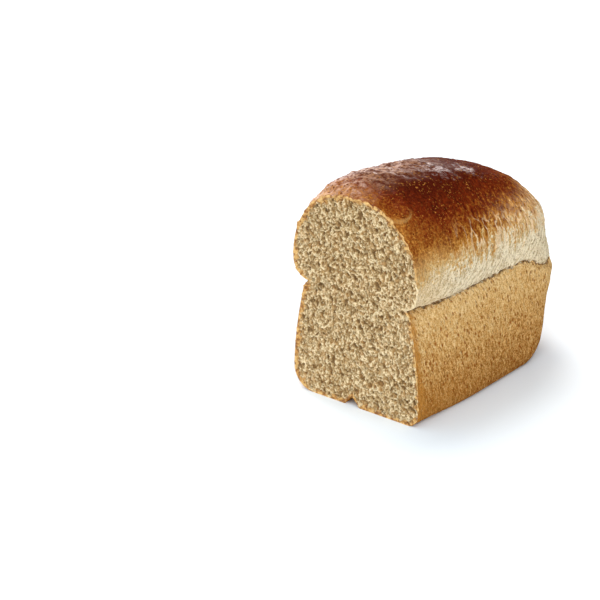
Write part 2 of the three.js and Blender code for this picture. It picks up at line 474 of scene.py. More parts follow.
        share = [
            flat * t[Zone.BASE],
            flat + (foot - flat) * sine[Zone.FOOT],
            foot + (lip_share - foot) * lean,
            lip_share + (break_share - lip_share) * t[Zone.LIP] ** self.lip_curl,
            break_share + (bulge - break_share) * sine[Zone.SHRED],
            dome_out,
        ]
        height = [
            0.0 * flat * t[Zone.BASE],
            foot_height * (1.0 - cosine[Zone.FOOT]),
            foot_height + (lip_height - foot_height) * t[Zone.WALL],
            lip_height + self.lip_depth * t[Zone.LIP],
            break_height + (bulge_height - break_height) * (1.0 - cosine[Zone.SHRED]),
            bulge_height + (crest - bulge_height) * sine[Zone.DOME] ** power,
        ]
        dome_mix = [0.0 * t[zone] for zone in (Zone.BASE, Zone.FOOT, Zone.WALL)]
        dome_mix.append(self.dome_share_at_break * t[Zone.LIP])
        dome_mix.append(mix(self.dome_share_at_break, 1.0, t[Zone.SHRED]))
        dome_mix.append(np.ones_like(t[Zone.DOME]))
        z = np.concatenate(height, axis=1)
        scale = np.concatenate(share, axis=1) * mix(1.0, dome_share, np.concatenate(dome_mix, axis=1))
        xy = stations.spine[:, None, :] + stations.reach[:, None, :] * scale[..., None]
        points = np.concatenate([xy, z[..., None]], axis=2)
        lower = z / break_height - 1.0
        upper = (z - break_height) / (crest[:, -1:] - break_height)
        return points, np.where(z < break_height, lower, upper)


@dataclass(frozen=True)
class LoafSkin:
    """Turns the loaf's form into one closed skin of crust and cut face."""

    form: LoafForm
    face_fineness: int = 4
    gap_batches: int = 40

    def build(self) -> Skin:
        """Joins the crust's rows station to station, welds the mirrored edges and fills the cut.

        Returns:
            The skin, with the values rise, rim, which is the distance in from the cut's outline, and crumb,
            which is 1 on the cut face.
        """
        grid, rise = self.form.crust_grid()
        stations, rows = rise.shape
        number = np.arange(stations * rows).reshape(stations, rows)
        mirrored = np.minimum(np.arange(stations), stations - 1 - np.arange(stations))
        past_cap = self.form.plan_outline()[:, 1] > self.form.cap_centre
        mirrored[past_cap] = np.argmax(past_cap)
        number[:, 0] = number[mirrored, 0]
        number[:, -1] = number[mirrored, -1]
        cells = np.stack([number[:-1, :-1], number[1:, :-1], number[1:, 1:], number[:-1, 1:]], axis=-1)
        cells = cells.reshape(-1, 4)
        low_fan = cells[:, 0] == cells[:, 1]
        high_fan = cells[:, 2] == cells[:, 3]
        quads = cells[~(low_fan | high_fan)]
        triangles = np.concatenate([cells[low_fan][:, [0, 2, 3]], cells[high_fan][:, :3]])
        ring = np.concatenate([number[0, :], number[-1, -2:0:-1]])
        points = grid.reshape(-1, 3)
        patch, face_quads, strip = self.cut_face(points, ring)
        used, compact = np.unique(np.concatenate([quads.ravel(), triangles.ravel()]), return_inverse=True)
        quads = compact[: quads.size].reshape(-1, 4)
        triangles = compact[quads.size :].reshape(-1, 3)
        strip = self.renumber_strip(strip, used)
        all_points = np.concatenate([points[used], patch["points"]])
        skin = Skin(
            points=all_points,
            quads=np.concatenate([quads, face_quads + len(used)]),
            triangles=np.concatenate([triangles, strip]),
            quad_is_crumb=np.arange(len(quads) + len(face_quads)) >= len(quads),
            triangle_is_crumb=np.arange(len(triangles) + len(strip)) >= len(triangles),
        )
        outside = np.zeros(len(used))
        skin.values["rise"] = np.concatenate([rise.reshape(-1)[used], patch["rise"]])
        skin.values["rim"] = np.concatenate([outside, patch["rim"]])
        skin.values["crumb"] = np.concatenate([outside, np.ones(len(patch["points"]))])
        return skin

    def renumber_strip(self, strip: Array, used: Array) -> Array:
        """Moves the joining strip's numbers from grid points and patch points to the skin's points.

        Args:
            strip: Triangles whose negative numbers -1 - n mean patch point n, and others a grid point.
            used: Grid points that the skin keeps, in order.

        Returns:
            Triangles in the skin's numbers.
        """
        return np.where(strip < 0, len(used) - 1 - strip, np.searchsorted(used, np.maximum(strip, 0)))

    def cut_face(self, points: Array, ring: Array) -> tuple[dict[str, Array], Array, Array]:
        """Fills the cut's outline with a Coons patch and a strip that joins it to the coarser crust.

        The patch is the straight blend of its left and right edges, plus that of its lower and upper edges,
        less the bilinear blend of its four corners.

        Args:
            points: Crust points.
            ring: Numbers of the points round the cut, from the base's middle up the right and down the left.

        Returns:
            The patch's points, rise and rim, its quads, and the joining strip for renumber_strip.
        """
        coarse = len(ring)
        fine = coarse * self.face_fineness
        spot = np.arange(fine) / self.face_fineness
        low = np.floor(spot).astype(int)
        part = (spot - low)[:, None]
        outline = mix(points[ring[low]], points[ring[(low + 1) % coarse]], part)
        corner = (ROWS[Zone.BASE] + ROWS[Zone.FOOT] // 2) * self.face_fineness
        half = fine // 2
        lower = np.arange(-corner, corner + 1) % fine
        right = np.arange(corner, half - corner + 1)
        upper = np.arange(half + corner, half - corner - 1, -1)
        left = np.arange(fine - corner, half + corner - 1, -1) % fine
        s = np.linspace(0.0, 1.0, len(lower))[None, :, None]
        t = np.linspace(0.0, 1.0, len(right))[:, None, None]
        edges = mix(outline[left][:, None, :], outline[right][:, None, :], s)
        edges = edges + mix(outline[lower][None, :, :], outline[upper][None, :, :], t)
        low_corners = mix(outline[lower[0]], outline[lower[-1]], s)
        grid = edges - mix(low_corners, mix(outline[upper[0]], outline[upper[-1]], s), t)
        flat = grid.reshape(-1, 3)
        number = np.arange(len(flat)).reshape(grid.shape[:2])
        quads = np.stack([number[:-1, :-1], number[:-1, 1:], number[1:, 1:], number[1:, :-1]], axis=-1)
        around = np.zeros(fine, dtype=int)
        around[lower] = number[0, :]
        around[right] = number[:, -1]
        around[upper] = number[-1, :]
        around[left] = number[:, 0]
        strip = self.joining_strip(ring, around)
        gaps = []
        for rows in np.array_split(flat, self.gap_batches):
            gaps.append(np.linalg.norm(rows[:, None, :] - outline[None, :, :], axis=2).min(axis=1))
        patch = {"points": flat, "rise": np.zeros(len(flat)), "rim": np.concatenate(gaps)}
        return patch, quads.reshape(-1, 4), strip

    def joining_strip(self, ring: Array, around: Array) -> Array:
        """Triangles that join the crust's edge points to the patch's finer ones, fanned from each crust step.

        Args:
            ring: Crust points round the cut.
            around: Patch points round the cut, face_fineness to each crust step.

        Returns:
            Triangles, with patch point n written as -1 - n.
        """
        there = np.roll(ring, -1)
        steps = [-1 - np.roll(around, -step)[:: self.face_fineness] for step in range(self.face_fineness + 1)]
        half = self.face_fineness // 2
        fans = [(ring, after, before) for before, after in zip(steps[:half], steps[1:])]
        fans.append((ring, there, steps[half]))
        fans += [(there, after, before) for before, after in zip(steps[half:-1], steps[half + 1 :])]
        return np.concatenate([np.stack(fan, axis=1) for fan in fans])


# ---------------------------------------------------------------- relief


@dataclass(frozen=True)
class Flake:
    """A blister by the cut, highest along its lower edge, where the crust has lifted."""

    centre: Place = (21.5, -79.5, 146.0)
    radius: float = 12.0
    height: float = 1.8
    edge: Span = (0.9, 1.08)
    raggedness: float = 0.3
    waves: Waves = Waves(6.0, 60)

    def lift(self, points: Array) -> Array:
        """Height of the blister: it grows with the square of the distance out, then drops at its ragged edge.

        Args:
            points: Points of the skin.

        Returns:
            Millimetres per point.
        """
        gap = np.linalg.norm(points - np.array(self.centre), axis=1) / self.radius
        gap = gap + self.raggedness * self.waves.at(points)
        return self.height * np.clip(gap, 0.0, 1.0) ** 2 * (1.0 - ease(gap, self.edge))


@dataclass(frozen=True)
class CrustRelief:
    """Lumps, blisters, torn fibres and pits of the crust, as millimetres moved along the skin's normal.

    Spans are of rise, where the name says nothing else, or of millimetres across, along or up.
    """

    lump: float = 1.1
    lumps: Waves = Waves(34.0, 1)
    swell: float = 0.5
    swells: Waves = Waves(11.0, 2, octaves=2)
    dome_start: Span = (0.3, 0.6)
    grain: float = 0.3
    grains: Waves = Waves(3.2, 3, octaves=2)
    blister: float = 0.7
    blisters: Spots = Spots(20.0, (5.0, 11.0), 0.4, 4, 0.3)
    blister_start: Span = (0.5, 0.7)
    pit: float = 0.55
    pits: Spots = Spots(4.2, (0.7, 1.6), 0.5, 5, 0.7)
    knob: float = 1.0
    knobs: Waves = Waves(5.5, 14, octaves=2)
    knob_pits: Spots = Spots(3.6, (0.8, 1.5), 0.7, 15, 0.6)
    knobs_across: Span = (-10.0, 25.0)
    knobs_along: Span = (-35.0, 20.0)
    shoulder: float = 2.6
    shoulder_centre: Place = (-34.0, -64.0, 145.0)
    shoulder_reach: float = 26.0
    flake: Flake = Flake()

    shred_start: Span = (-0.01, 0.01)
    shred_end: Span = (0.45, 0.7)
    fibre: float = 0.6
    fibres: Waves = Waves(3.0, 6, octaves=2, stretch=(1.0, 1.0, 3.4))
    ridges: Waves = Waves(7.0, 7, stretch=(1.0, 1.0, 4.0))
    ridge_sharpness: float = 4.0
    ridges_along: Span = (-60.0, -35.0)
    crumb: float = 0.6
    crumbs: Spots = Spots(3.0, (0.8, 1.6), 0.7, 8, 0.7, stretch=(1.0, 1.0, 1.5))
    far_swell: float = 2.5
    far_along: Span = (0.0, 60.0)
    crevice: float = 2.0
    crevice_width: float = 0.018
    tooth: float = 3.0
    teeth: Waves = Waves(3.4, 11, octaves=2, stretch=(1.0, 1.0, 6.0))
    tooth_width: float = 0.03

    tin_end: Span = (-0.08, 0.0)
    tin_lump_share: float = 0.5
    hair: float = 0.39
    hairs: Waves = Waves(2.8, 10, octaves=2, stretch=(1.0, 1.0, 2.8))
    tin_pits: Spots = Spots(3.2, (0.6, 1.6), 0.6, 9, 0.8, stretch=(1.0, 1.0, 1.7))
    base_height: Span = (0.2, 6.0)
    torn: float = 1.6
    torn_reach: float = 1.6
    torn_height: Span = (0.5, 4.0)
    ragged: Waves = Waves(3.0, 12, octaves=2)
    overhang: Waves = Waves(4.0, 13)

    def dome(self, points: Array, rise: Array, lumps: Array) -> Array:
        """Relief of the dome: lumps, grain, blisters, pits and the flake.

        To the left of the crest near the cut it also has knobs, and a fuller shoulder that fades by
        e^-(distance/reach)^2.

        Args:
            points: Points of the skin.
            rise: Their rise.
            lumps: The broad waves there.

        Returns:
            Millimetres per point.
        """
        blisters = self.blister * self.blisters.at(points) * ease(rise, self.blister_start)
        dome = lumps + self.grain * self.grains.at(points) + blisters - self.pit * self.pits.at(points)
        gap = np.linalg.norm(points - np.array(self.shoulder_centre), axis=1) / self.shoulder_reach
        left = (1.0 - ease(points[:, 0], self.knobs_across)) * (1.0 - ease(points[:, 1], self.knobs_along))
        knobs = (self.knobs.at(points) - self.knob_pits.at(points)) * left
        return dome + self.flake.lift(points) + self.shoulder * np.exp(-(gap**2)) + self.knob * knobs

    def shred(self, points: Array, rise: Array) -> Array:
        """Relief of the shred band: leaning fibres, upright ridges and pits, over a crevice at its foot.

        A ridge is 1 - sharpness |wave|, held above 0.

        Args:
            points: Points of the skin.
            rise: Their rise.

        Returns:
            Millimetres per point.
        """
        ridges = np.maximum(1.0 - np.abs(self.ridges.at(points)) * self.ridge_sharpness, 0.0)
        ridges = ridges * ease(points[:, 1], self.ridges_along)
        shred = self.fibre * (self.fibres.at(points @ LEAN_BACK) + ridges)
        shred = shred - self.crumb * self.crumbs.at(points)
        shred = shred - self.crevice * np.exp(-((rise / self.crevice_width) ** 2))
        return shred + self.far_swell * ease(points[:, 1], self.far_along)

    def lift(self, skin: Skin) -> Array:
        """How far each point moves out along its normal.

        Args:
            skin: The smooth skin, with its rise values.

        Returns:
            Millimetres per point, positive outwards.
        """
        points = skin.points
        rise = skin.values["rise"]
        lumps = self.lump * self.lumps.at(points) + self.swell * self.swells.at(points)
        tin = self.tin_lump_share * lumps + self.hair * self.hairs.at(points @ LEAN_FORWARD)
        tin = tin - self.pit * self.tin_pits.at(points)
        on_shred = ease(rise, self.shred_start) * (1.0 - ease(rise, self.shred_end))
        lift = ease(rise, self.dome_start) * self.dome(points, rise, lumps)
        lift = lift + on_shred * self.shred(points, rise) + (1.0 - ease(rise, self.tin_end)) * tin
        return lift * ease(points[:, 2], self.base_height)

    def apply(self, skin: Skin, normals: Array) -> None:
        """Moves the crust's points, makes the lip above the tin wall ragged and tears the cut's edge.

        Args:
            skin: The skin to change.
            normals: Its smooth normals.
        """
        crust = 1.0 - skin.values["crumb"]
        lift = self.lift(skin) * crust
        near_break = np.exp(-((skin.values["rise"] / self.tooth_width) ** 2)) * crust
        teeth = self.teeth.at(skin.points)
        skin.points += normals * lift[:, None]
        skin.points[:, 2] += self.tooth * teeth * near_break
        from_cut = (skin.points[:, 1] - skin.points[:, 1].min()) / self.torn_reach
        torn = self.torn * np.exp(-(from_cut**2)) * crust * ease(skin.points[:, 2], self.torn_height)
        skin.points += normals * (self.ragged.at(skin.points) * torn)[:, None]
        skin.points[:, 1] += np.abs(self.overhang.at(skin.points)) * torn
        skin.points[:, 2] = np.maximum(skin.points[:, 2], 0.0)


@dataclass(frozen=True)
class CrumbRelief:
    """Open crumb of the cut face: pores sink into the loaf and their walls stand proud of it."""

    push: float = 1.2
    pushes: tuple[Waves, ...] = tuple(Waves(7.0, salt, octaves=2) for salt in (20, 21, 22))
    large: float = 2.2
    larges: Spots = Spots(5.6, (0.8, 1.9), 0.8, 30, 0.5, stretch=(1.0, 1.0, 1.5), flat=True)
    rares: Spots = Spots(10.0, (1.3, 2.4), 0.55, 34, 0.45, stretch=(1.0, 1.0, 1.5), flat=True)
    small: float = 0.7
    smalls: Spots = Spots(1.9, (0.45, 0.9), 0.7, 32, 0.6, stretch=(1.0, 1.0, 1.5), flat=True)
    worm: float = 1.4
    worms: Waves = Waves(2.05, 33, octaves=2, stretch=(1.0, 1.0, 1.7))
    worm_width: Span = (0.04, 0.42)
    wall: float = 0.25
    walls: Waves = Waves(2.6, 40, octaves=2, stretch=(1.0, 1.0, 1.4))
    wall_rim: Span = (0.3, 2.6)
    bow: float = 0.8
    bows: Waves = Waves(40.0, 41)
    bow_rim: Span = (0.0, 12.0)

    def sink(self, points: Array) -> Array:
        """Pore depth over the cut face, in millimetres.

        The points are first pushed about by soft waves, so that pores come out crooked. Waves are drawn out
        along a lean of the height, and their size without its sign leaves hollows between thin winding
        walls. A few larger and many smaller elliptical pores are added, and the deepest one counts.

        Args:
            points: Points of the cut face.

        Returns:
            Depths, positive into the loaf.
        """
        pushed = points + self.push * np.stack([waves.at(points) for waves in self.pushes], axis=-1)
        place = pushed @ LEAN_SIDEWAYS
        large = np.maximum(self.larges.at(place), self.rares.at(place))
        worm = ease(np.abs(self.worms.at(place)), self.worm_width)
        return np.maximum(self.large * large, self.worm * worm + self.small * self.smalls.at(place))

    def apply(self, skin: Skin) -> None:
        """Moves the cut face's points along the loaf and records how deep each lies.

        Args:
            skin: The skin to change. It gains the value pore, from 0 on the face to 1 at the deepest.
        """
        face = skin.values["crumb"] > 0.5
        points = skin.points[face]
        rim = skin.values["rim"][face]
        depth = (self.sink(points) - self.wall * self.walls.at(points)) * ease(rim, self.wall_rim)
        skin.points[face, 1] += depth + self.bow * self.bows.at(points) * ease(rim, self.bow_rim)
        pore = np.zeros(len(skin.points))
        pore[face] = np.clip(depth / self.large, 0.0, 1.0)
        skin.values["pore"] = pore


# ---------------------------------------------------------------- shader building


@dataclass(frozen=True)
class Grain:
    """A pattern: its cell in millimetres, its detail, how it is drawn out and its lean about X in degrees."""

    size: float
    detail: float = 2.0
    stretch: Place = EVEN
    lean: float = 0.0


class Shade:
    """A shader socket that Python's operators turn into Math nodes."""

    def __init__(self, bench: "Bench", socket: bpy.types.NodeSocket) -> None:
        """Wraps a socket of a bench's material."""
        self.bench = bench
        self.socket = socket

    def math(self, operation: str, *values: Any) -> "Shade":
        """Result of a Math node fed with this socket and values."""
        inputs = dict(enumerate((self, *values)))
        return self.bench.shade(0, "ShaderNodeMath", {"operation": operation}, inputs)

    def __add__(self, other: Any) -> "Shade":
        """Sum."""
        return self.math("ADD", other)

    def __mul__(self, other: Any) -> "Shade":
        """Product."""
        return self.math("MULTIPLY", other)

    def __sub__(self, other: Any) -> "Shade":
        """Difference."""
        return self.math("SUBTRACT", other)

    def __rsub__(self, other: Any) -> "Shade":
        """Difference from a number on the left."""
        return self * -1.0 + other

    __radd__ = __add__
    __rmul__ = __mul__

    def step(self, span: Span) -> "Shade":
        """Smooth step from 0 to 1 along span."""
        values = {"Value": self, "From Min": span[0], "From Max": span[1]}
        return self.bench.shade("Result", "ShaderNodeMapRange", {"interpolation_type": "SMOOTHSTEP"}, values)

    def fade(self, span: Span) -> "Shade":
        """Smooth step from 1 to 0 along span."""
        return 1.0 - self.step(span)

    def swing(self, amount: Any) -> "Shade":
        """A noise's departure from its middle value, times amount."""
        return (self - NOISE_MIDDLE) * amount

    def scaled(self, ends: Span) -> "Shade":
        """Rescaled, so that 0 becomes the first of ends and 1 the second."""
        return self * (ends[1] - ends[0]) + ends[0]


class Bench:
    """A material being made: it adds nodes, sets them and wires their sockets."""

    def __init__(self, name: str) -> None:
        """Starts a material that holds one Principled shader.

        Args:
            name: The material's name.
        """
        self.material = bpy.data.materials.new(name)
        self.material.use_nodes = True
        self.tree = self.material.node_tree
        self.shader = self.tree.nodes["Principled BSDF"]
        self.place = self.node("ShaderNodeTexCoord").outputs["Object"]

    def node(
        self, kind: str, settings: dict[str, Any] | None = None, values: dict[Any, Any] | None = None
    ) -> bpy.types.Node:
        """Adds a node, sets it, then fills or links its inputs.

        Args:
            kind: Blender's node type.
            settings: Node properties. A ramp's stops are given as stops.
            values: Numbers, colours, sockets or Shades, by input name or number.

        Returns:
            The node.
        """
        node = self.tree.nodes.new(kind)
        for name, setting in (settings or {}).items():
            if name == "stops":
                self.set_stops(node.color_ramp, setting)
            else:
                setattr(node, name, setting)
        self.fill(node, values or {})
        return node

    def set_stops(self, ramp: bpy.types.ColorRamp, stops: Stops) -> None:
        """Gives a colour ramp its stops.

        Args:
            ramp: The ramp.
            stops: Positions and colours, in order.
        """
        while len(ramp.elements) < len(stops):
            ramp.elements.new(1.0)
        for element, (position, colour) in zip(ramp.elements, stops):
            element.position = position
            element.color = (*colour, 1.0)

    def fill(self, node: bpy.types.Node, values: dict[Any, Any]) -> None:
        """Links each value that is a socket or a Shade to its input, and sets each other one.

        Args:
            node: The node.
            values: Sockets, Shades, numbers, colours or vectors, by input name or number.
        """
        for name, value in values.items():
            socket = node.inputs[name]
            if isinstance(value, Shade):
                self.tree.links.new(value.socket, socket)
            elif isinstance(value, bpy.types.NodeSocket):
                self.tree.links.new(value, socket)
            elif socket.type == "RGBA" and len(value) == 3:
                socket.default_value = (*value, 1.0)
            else:
                socket.default_value = value

    def shade(self, output: Any, kind: str, settings: dict[str, Any] | None, values: dict[Any, Any]) -> Shade:
        """One output of a new node, by name or number, as a Shade."""
        return Shade(self, self.node(kind, settings, values).outputs[output])

    def value(self, name: str) -> Shade:
        """A named value of the mesh's points."""
        return self.shade("Fac", "ShaderNodeAttribute", {"attribute_name": name}, {})

    def axes(self) -> list[Shade]:
        """Metres along X, Y and Z."""
        node = self.node("ShaderNodeSeparateXYZ", None, {0: self.place})
        return [Shade(self, output) for output in node.outputs]

    def cells(self, grain: Grain) -> bpy.types.NodeSocket:
        """Object coordinates in cells of a grain.

        Args:
            grain: The pattern.

        Returns:
            Socket of the coordinates.
        """
        scale = tuple(grain.size * MM * part for part in grain.stretch)
        values = {"Vector": self.place, "Rotation": (math.radians(grain.lean), 0.0, 0.0), "Scale": scale}
        return self.node("ShaderNodeMapping", {"vector_type": "TEXTURE"}, values).outputs[0]

    def noise(self, grain: Grain) -> Shade:
        """Soft noise of a grain, in 0..1."""
        values = {"Vector": self.cells(grain), "Scale": 1.0, "Detail": grain.detail}
        return self.shade("Fac", "ShaderNodeTexNoise", None, values)

    def specks(self, grain: Grain, edge: Span) -> Shade:
        """Specks scattered one to a cell: 1 at a speck's middle, and fading to 0 along edge, in cells."""
        values = {"Vector": self.cells(grain), "Scale": 1.0}
        return self.shade("Distance", "ShaderNodeTexVoronoi", None, values).fade(edge)

    def distance(self, middle: Place) -> Shade:
        """Metres from middle."""
        values = {0: self.place, 1: middle}
        return self.shade("Value", "ShaderNodeVectorMath", {"operation": "DISTANCE"}, values)

    def ramp(self, where: Shade, stops: Stops) -> bpy.types.NodeSocket:
        """Colour at where along a ramp of stops."""
        return self.node("ShaderNodeValToRGB", {"stops": stops}, {"Fac": where}).outputs["Color"]

    def blend(self, share: Any, low: Any, high: Any, how: str = "MIX") -> bpy.types.NodeSocket:
        """Blend of two colours through a Mix node.

        Args:
            share: 0 for low, 1 for high.
            low: First colour.
            high: Second colour.
            how: Mix node's blend type.

        Returns:
            Socket of the blended colour.
        """
        settings = {"data_type": "RGBA", "blend_type": how}
        return self.node("ShaderNodeMix", settings, {0: share, 6: low, 7: high}).outputs[2]

    def dress(self, values: dict[str, Any], hills: Shade | None = None, depth_mm: float = 1.0) -> None:
        """Fills the shader's own inputs, and bumps its normal.

        Args:
            values: Numbers, colours, sockets or Shades, by input name.
            hills: Height of the bumps, or None for a smooth surface.
            depth_mm: What a height of 1 stands for.
        """
        self.fill(self.shader, values)
        if hills is not None:
            bumps = {"Height": hills, "Distance": depth_mm * MM, "Strength": 1.0}
            self.fill(self.shader, {"Normal": self.node("ShaderNodeBump", None, bumps).outputs["Normal"]})


# ---------------------------------------------------------------- finishes


class CrustBench(Bench):
    """The crust's material being made, with the measures and patterns that its colours share.

    rise is -1 at the base, 0 at the break line and 1 at the crest. along, across and height are metres from
    the cut, to the right of the middle and above the base. dents is 1 in a dent and 0 outside it.
    """

    MOTTLE = Grain(14.0, 4.0)
    FINE = Grain(1.9, 3.0)
    GRIT = Grain(1.1)
    LUMPS = Grain(4.0, 3.0)
    LUMP_FINE = 0.5
    DENTS = Grain(3.3)
    DENT_EDGE = (0.14, 0.34)
    NEAR_CUT = (0.05, 0.12)

    def __init__(self, half_length: float) -> None:
        """Starts the material.

        Args:
            half_length: Metres from the loaf's middle to the cut.
        """
        super().__init__("crust")
        self.rise = self.value("rise")
        self.across, y, self.height = self.axes()
        self.along = y + half_length
        self.mottle = self.noise(self.MOTTLE)
        self.fine = self.noise(self.FINE)
        self.grit = self.noise(self.GRIT)
        self.lumps = self.noise(self.LUMPS) + self.fine * self.LUMP_FINE
        self.dents = self.specks(self.DENTS, self.DENT_EDGE)

    def left_crest(self, side: Span, start: Span) -> Shade:
        """Mask of the crest's left side near the cut, by its spans across and of rise."""
        return self.across.fade(side) * self.along.fade(self.NEAR_CUT) * self.rise.step(start)


@dataclass(frozen=True)
class DomeFinish:
    """Torn shred band and dome: cream, straw and tan below, then golden, chestnut, mahogany and char.

    Spans named along are metres from the cut, those named start or end are of rise, and the others are of
    the pattern's own value. A pair of swings or shares is for where its mask is 0 and where it is 1.
    """

    cream: Colour = (0.99, 0.81, 0.55)
    straw: Colour = (0.80, 0.50, 0.20)
    tan: Colour = (0.68, 0.345, 0.10)
    golden: Colour = (0.58, 0.235, 0.042)
    chestnut: Colour = (0.30, 0.082, 0.011)
    mahogany: Colour = (0.175, 0.022, 0.004)
    char: Colour = (0.08, 0.009, 0.003)
    tones: Stops = (
        (0.28, cream),
        (0.37, straw),
        (0.43, tan),
        (0.49, golden),
        (0.63, chestnut),
        (0.77, mahogany),
        (0.95, char),
    )
    husk: Colour = (0.64, 0.46, 0.24)
    # Painted sheen: a pinkish brown laid on the crest's left by the cut.
    painted_sheen: Colour = (0.64, 0.29, 0.125)
    # Pink of the pale cracks, and of the painted sheen at the far end.
    crack_and_sheen_pink: Colour = (0.97, 0.66, 0.37)
    bran: Colour = (0.36, 0.135, 0.025)

    streaks: Grain = Grain(3.4, stretch=(1.0, 1.0, 8.0))
    streak_along: Span = (0.03, 0.08)
    streak_swings: Span = (0.15, 0.85)
    streak_end: Span = (0.72, 0.95)
    mottle_swing: float = 0.3
    fine_swing: float = 0.5
    light_side: Span = (-0.02, 0.03)
    light_along: Span = (0.0, 0.035)
    light_start: Span = (0.5, 0.9)
    light_shares: Span = (0.28, 0.48)
    far_along: Span = (0.07, 0.16)
    far_share: float = 0.15
    near_along: Span = (0.05, 0.09)
    near_share: float = 0.03

    cracks: Grain = Grain(6.5, 1.0, (1.0, 1.0, 6.0))
    crack_width: Span = (0.01, 0.05)
    crack_start: Span = (0.25, 0.4)
    crack_end: Span = (0.5, 0.72)
    crack_along: Span = (0.03, 0.07)
    crack_mottle: Span = (0.3, 0.55)
    crack_shares: Span = (0.4, 1.0)
    # The painted sheen at the far end: pink laid over the middle of the rise.
    far_sheen_start: Span = (0.3, 0.45)
    far_sheen_end: Span = (0.6, 0.85)
    far_sheen_fine: Span = (0.35, 0.6)
    far_sheen_share: float = 0.6
    # Where the painted sheen lies on the crest's left, and how strongly it shows on the lumps.
    painted_sheen_side: Span = (-0.022, 0.018)
    painted_sheen_start: Span = (0.3, 0.6)
    painted_sheen_lumps: Span = (0.6, 0.9)
    painted_sheen_shares: Span = (0.1, 0.65)

    brown_start: Span = (0.42, 0.6)
    # Painted glints: small golden flecks that stand for tiny highlights on the baked dome.
    flecks_and_glints: Grain = Grain(1.5, 1.0)
    fleck_and_glint_edge: Span = (0.6, 0.7)
    glint_mottle: Span = (0.35, 0.6)
    fleck_and_glint_share: float = 0.75
    char_grit: Span = (0.56, 0.7)
    char_share: float = 0.7
    flake: Flake = Flake()
    flake_waves: Grain = Grain(8.0, 1.0)
    flake_wander: float = 0.004
    flake_rim: Span = (0.0005, 0.0016)
    flake_low: Span = (-0.006, 0.001)
    flake_fine: Span = (0.3, 0.5)
    flake_share: float = 0.55
    holes: Grain = Grain(4.4)
    hole_edge: Span = (0.07, 0.2)
    hole_share: float = 0.8

    fibres: Grain = Grain(1.7, stretch=(1.0, 1.0, 3.4), lean=-35.0)
    fibre_grit: float = 0.5
    fibre_edge: Span = (0.7, 0.88)
    fibre_end: Span = (0.3, 0.5)
    fibre_share: float = 0.8
    straw_along: Span = (0.01, 0.05)
    straw_share: float = 0.38
    bran_grit: Span = (0.58, 0.68)
    bran_share: float = 0.45

    def colour(self, bench: CrustBench) -> bpy.types.NodeSocket:
        """Colours the shred band and the dome.

        How far the crust is baked follows its rise, stirred by streaks and noise. It is lighter by the cut
        and at the far end. The overlays are added by the other methods.

        Args:
            bench: The crust's material.

        Returns:
            Colour socket.
        """
        rise, along = bench.rise, bench.along
        swing = along.step(self.streak_along).scaled(self.streak_swings) * rise.fade(self.streak_end)
        baked = rise + bench.noise(self.streaks).swing(swing)
        baked = baked + bench.mottle.swing(self.mottle_swing) + bench.fine.swing(self.fine_swing)
        light = bench.across.fade(self.light_side).scaled(self.light_shares)
        baked = baked - along.fade(self.light_along) * rise.step(self.light_start) * light
        baked = baked - along.step(self.far_along) * self.far_share
        baked = baked + along.fade(self.near_along) * self.near_share
        colour = bench.ramp(baked, self.tones)
        brown = rise.step(self.brown_start)
        return self.torn(bench, self.marks(bench, self.pale(bench, colour), brown), brown)

    def pale(self, bench: CrustBench, colour: Any) -> bpy.types.NodeSocket:
        """Lays pale upright cracks, a pink painted sheen at the far end and a painted sheen on the crest's
        left over a colour.

        Args:
            bench: The crust's material.
            colour: Colour underneath.

        Returns:
            Colour socket.
        """
        rise, along, fine = bench.rise, bench.along, bench.fine
        cracks = bench.noise(self.cracks).swing(1.0).math("ABSOLUTE").fade(self.crack_width)
        cracks = cracks * rise.step(self.crack_start) * rise.fade(self.crack_end)
        share = along.step(self.crack_along) * bench.mottle.step(self.crack_mottle).scaled(self.crack_shares)
        colour = bench.blend(cracks * share, colour, self.crack_and_sheen_pink)
        # Painted sheen: pink blended in at the far end, broken up by noise.
        far_sheen = along.step(self.far_along) * rise.step(self.far_sheen_start) * rise.fade(self.far_sheen_end)
        colour = bench.blend(far_sheen * fine.step(self.far_sheen_fine) * self.far_sheen_share, colour, self.crack_and_sheen_pink)
        # Painted sheen on the crest's left, strongest on the lumps.
        share = bench.lumps.step(self.painted_sheen_lumps).scaled(self.painted_sheen_shares)
        return bench.blend(bench.left_crest(self.painted_sheen_side, self.painted_sheen_start) * share, colour, self.painted_sheen)

    def marks(self, bench: CrustBench, colour: Any, brown: Shade) -> bpy.types.NodeSocket:
        """Lays golden flecks as painted glints, charred grit, the flake's lower rim and dark holes over a
        colour.

        Args:
            bench: The crust's material.
            colour: Colour underneath.
            brown: Mask of the baked dome.

        Returns:
            Colour socket.
        """
        # Painted glints: golden flecks where the mottle allows, on the baked dome only.
        flecks_and_glints = bench.noise(self.flecks_and_glints).step(self.fleck_and_glint_edge) * bench.mottle.step(self.glint_mottle)
        colour = bench.blend(flecks_and_glints * brown * self.fleck_and_glint_share, colour, self.golden)
        colour = bench.blend(bench.grit.step(self.char_grit) * brown * self.char_share, colour, self.char)
        middle = tuple(part * MM for part in self.flake.centre)
        gap = bench.distance(middle) + bench.noise(self.flake_waves).swing(self.flake_wander)
        rim = (gap - self.flake.radius * MM).math("ABSOLUTE").fade(self.flake_rim)
        rim = rim * (bench.height - middle[2]).fade(self.flake_low) * bench.fine.step(self.flake_fine)
        colour = bench.blend(rim * self.flake_share, colour, self.tan)
        dents = bench.dents * bench.left_crest(self.painted_sheen_side, self.painted_sheen_start)
        holes = (bench.specks(self.holes, self.hole_edge) + dents).math("MINIMUM", 1.0)
        return bench.blend(holes * brown * self.hole_share, colour, self.char)

